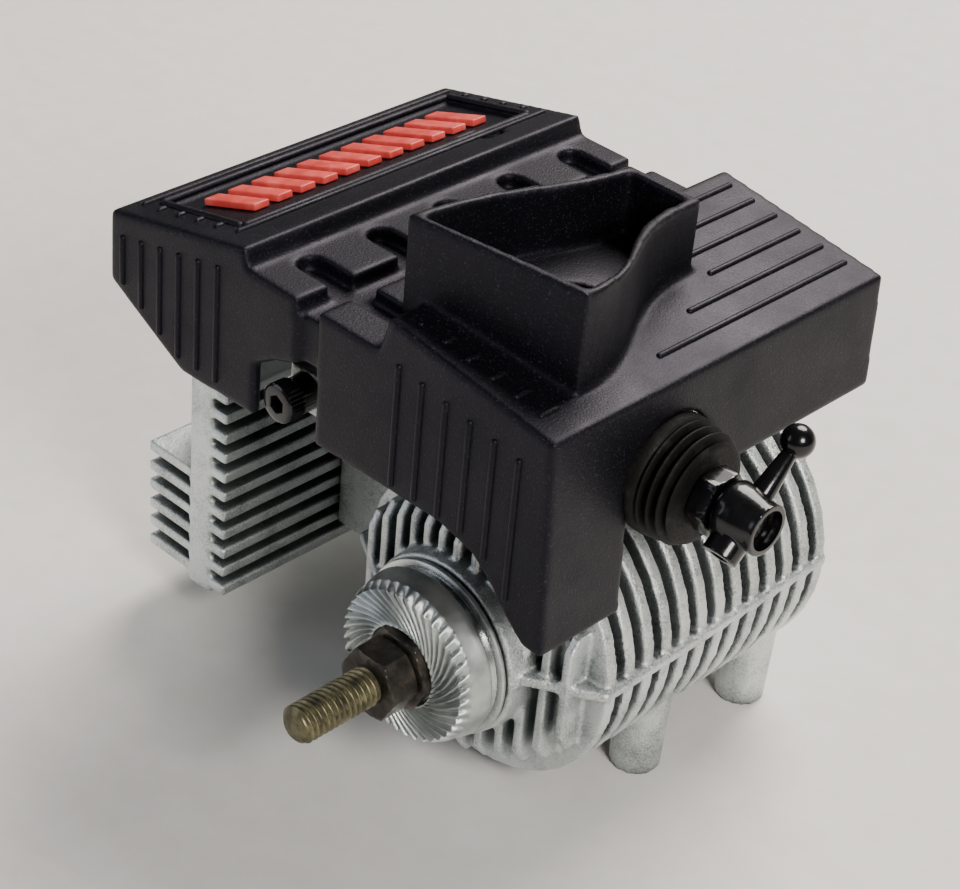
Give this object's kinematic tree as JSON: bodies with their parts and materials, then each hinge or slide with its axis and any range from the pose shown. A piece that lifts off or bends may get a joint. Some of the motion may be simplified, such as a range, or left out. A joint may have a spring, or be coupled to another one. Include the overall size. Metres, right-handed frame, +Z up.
{
  "type": "model glow engine",
  "caption": "Bottom-mounted two-stroke model glow engine: finned crankcase on four posts, side head, slide throttle and black top cover with an air scoop.",
  "frame": {"origin": "centre of the bounding box's base, at the level of the four mounting posts' feet", "axes": "+X from the cylinder head to the throttle side, +Y from the propeller end to the backplate, +Z up"},
  "size_m": [0.1076, 0.092, 0.0948],
  "materials": {
    "cast_aluminium": "fine blasted die casting",
    "machined_aluminium": "turned, satin",
    "steel": "ground steel",
    "olive_zinc": "olive passivated thread",
    "brown_oxide": "oily brown oxide",
    "bronze": "bronze, honed",
    "copper_gasket": "soft copper",
    "brass": "turned brass",
    "moulded_plastic": "spark textured black nylon",
    "red_plastic": "satin red paint",
    "bellows_rubber": "dusty black rubber",
    "black_oxide": "polished black oxide"
  },
  "bodies": {
    "engine_body": {"crankcase": "cast_aluminium", "backplate": "cast_aluminium", "head_block": "cast_aluminium", "front_bearing": "steel", "rear_bearing": "steel", "glow_plug": "steel", "combustion_insert": "machined_aluminium", "carburettor_body": "machined_aluminium", "cylinder_liner": "bronze", "head_gasket": "copper_gasket", "fuel_nipple": "brass", "top_cover": "moulded_plastic", "badge_bars": "red_plastic", "throttle_bellows": "bellows_rubber", "cover_screw": "black_oxide", "backplate_screw_1": "black_oxide", "head_screw_1": "black_oxide", "backplate_screw_2": "black_oxide", "head_screw_2": "black_oxide", "backplate_screw_3": "black_oxide", "head_screw_3": "black_oxide", "backplate_screw_4": "black_oxide", "head_screw_4": "black_oxide"},
    "crank": {"crankshaft": "steel", "threaded_stud": "olive_zinc", "drive_washer": "machined_aluminium", "lock_washer": "brown_oxide", "shaft_nut": "brown_oxide"},
    "piston": {"piston": "machined_aluminium", "wrist_pin": "steel"},
    "rod": {"connecting_rod": "machined_aluminium"},
    "throttle": {"throttle_slide": "steel", "lock_nut": "black_oxide", "link_body": "black_oxide", "ball_stud": "black_oxide", "pinch_screw": "steel"},
    "needle": {"needle_valve": "brass"}
  },
  "joints": [
    {"name": "crank_spin", "type": "hinge", "parent": "engine_body", "child": "crank", "pos_m": [0.0112, -0.0179, 0.027], "axis": [0, 1, 0], "continuous": true},
    {"name": "piston_slide", "type": "slide", "parent": "engine_body", "child": "piston", "axis": [1, 0, 0], "range_m": [0, 0.015]},
    {"name": "rod_swing", "type": "hinge", "parent": "piston", "child": "rod", "pos_m": [-0.0243, 0.0241, 0.027], "axis": [0, 1, 0], "range_deg": [-15.5, 15.5]},
    {"name": "throttle_slide_travel", "type": "slide", "parent": "engine_body", "child": "throttle", "axis": [1, 0, 0], "range_m": [-0.003, 0.003]},
    {"name": "needle_turn", "type": "hinge", "parent": "engine_body", "child": "needle", "pos_m": [0.0112, -0.0036, 0.0645], "axis": [1, 0, 0], "range_deg": [-360, 360]}
  ]
}
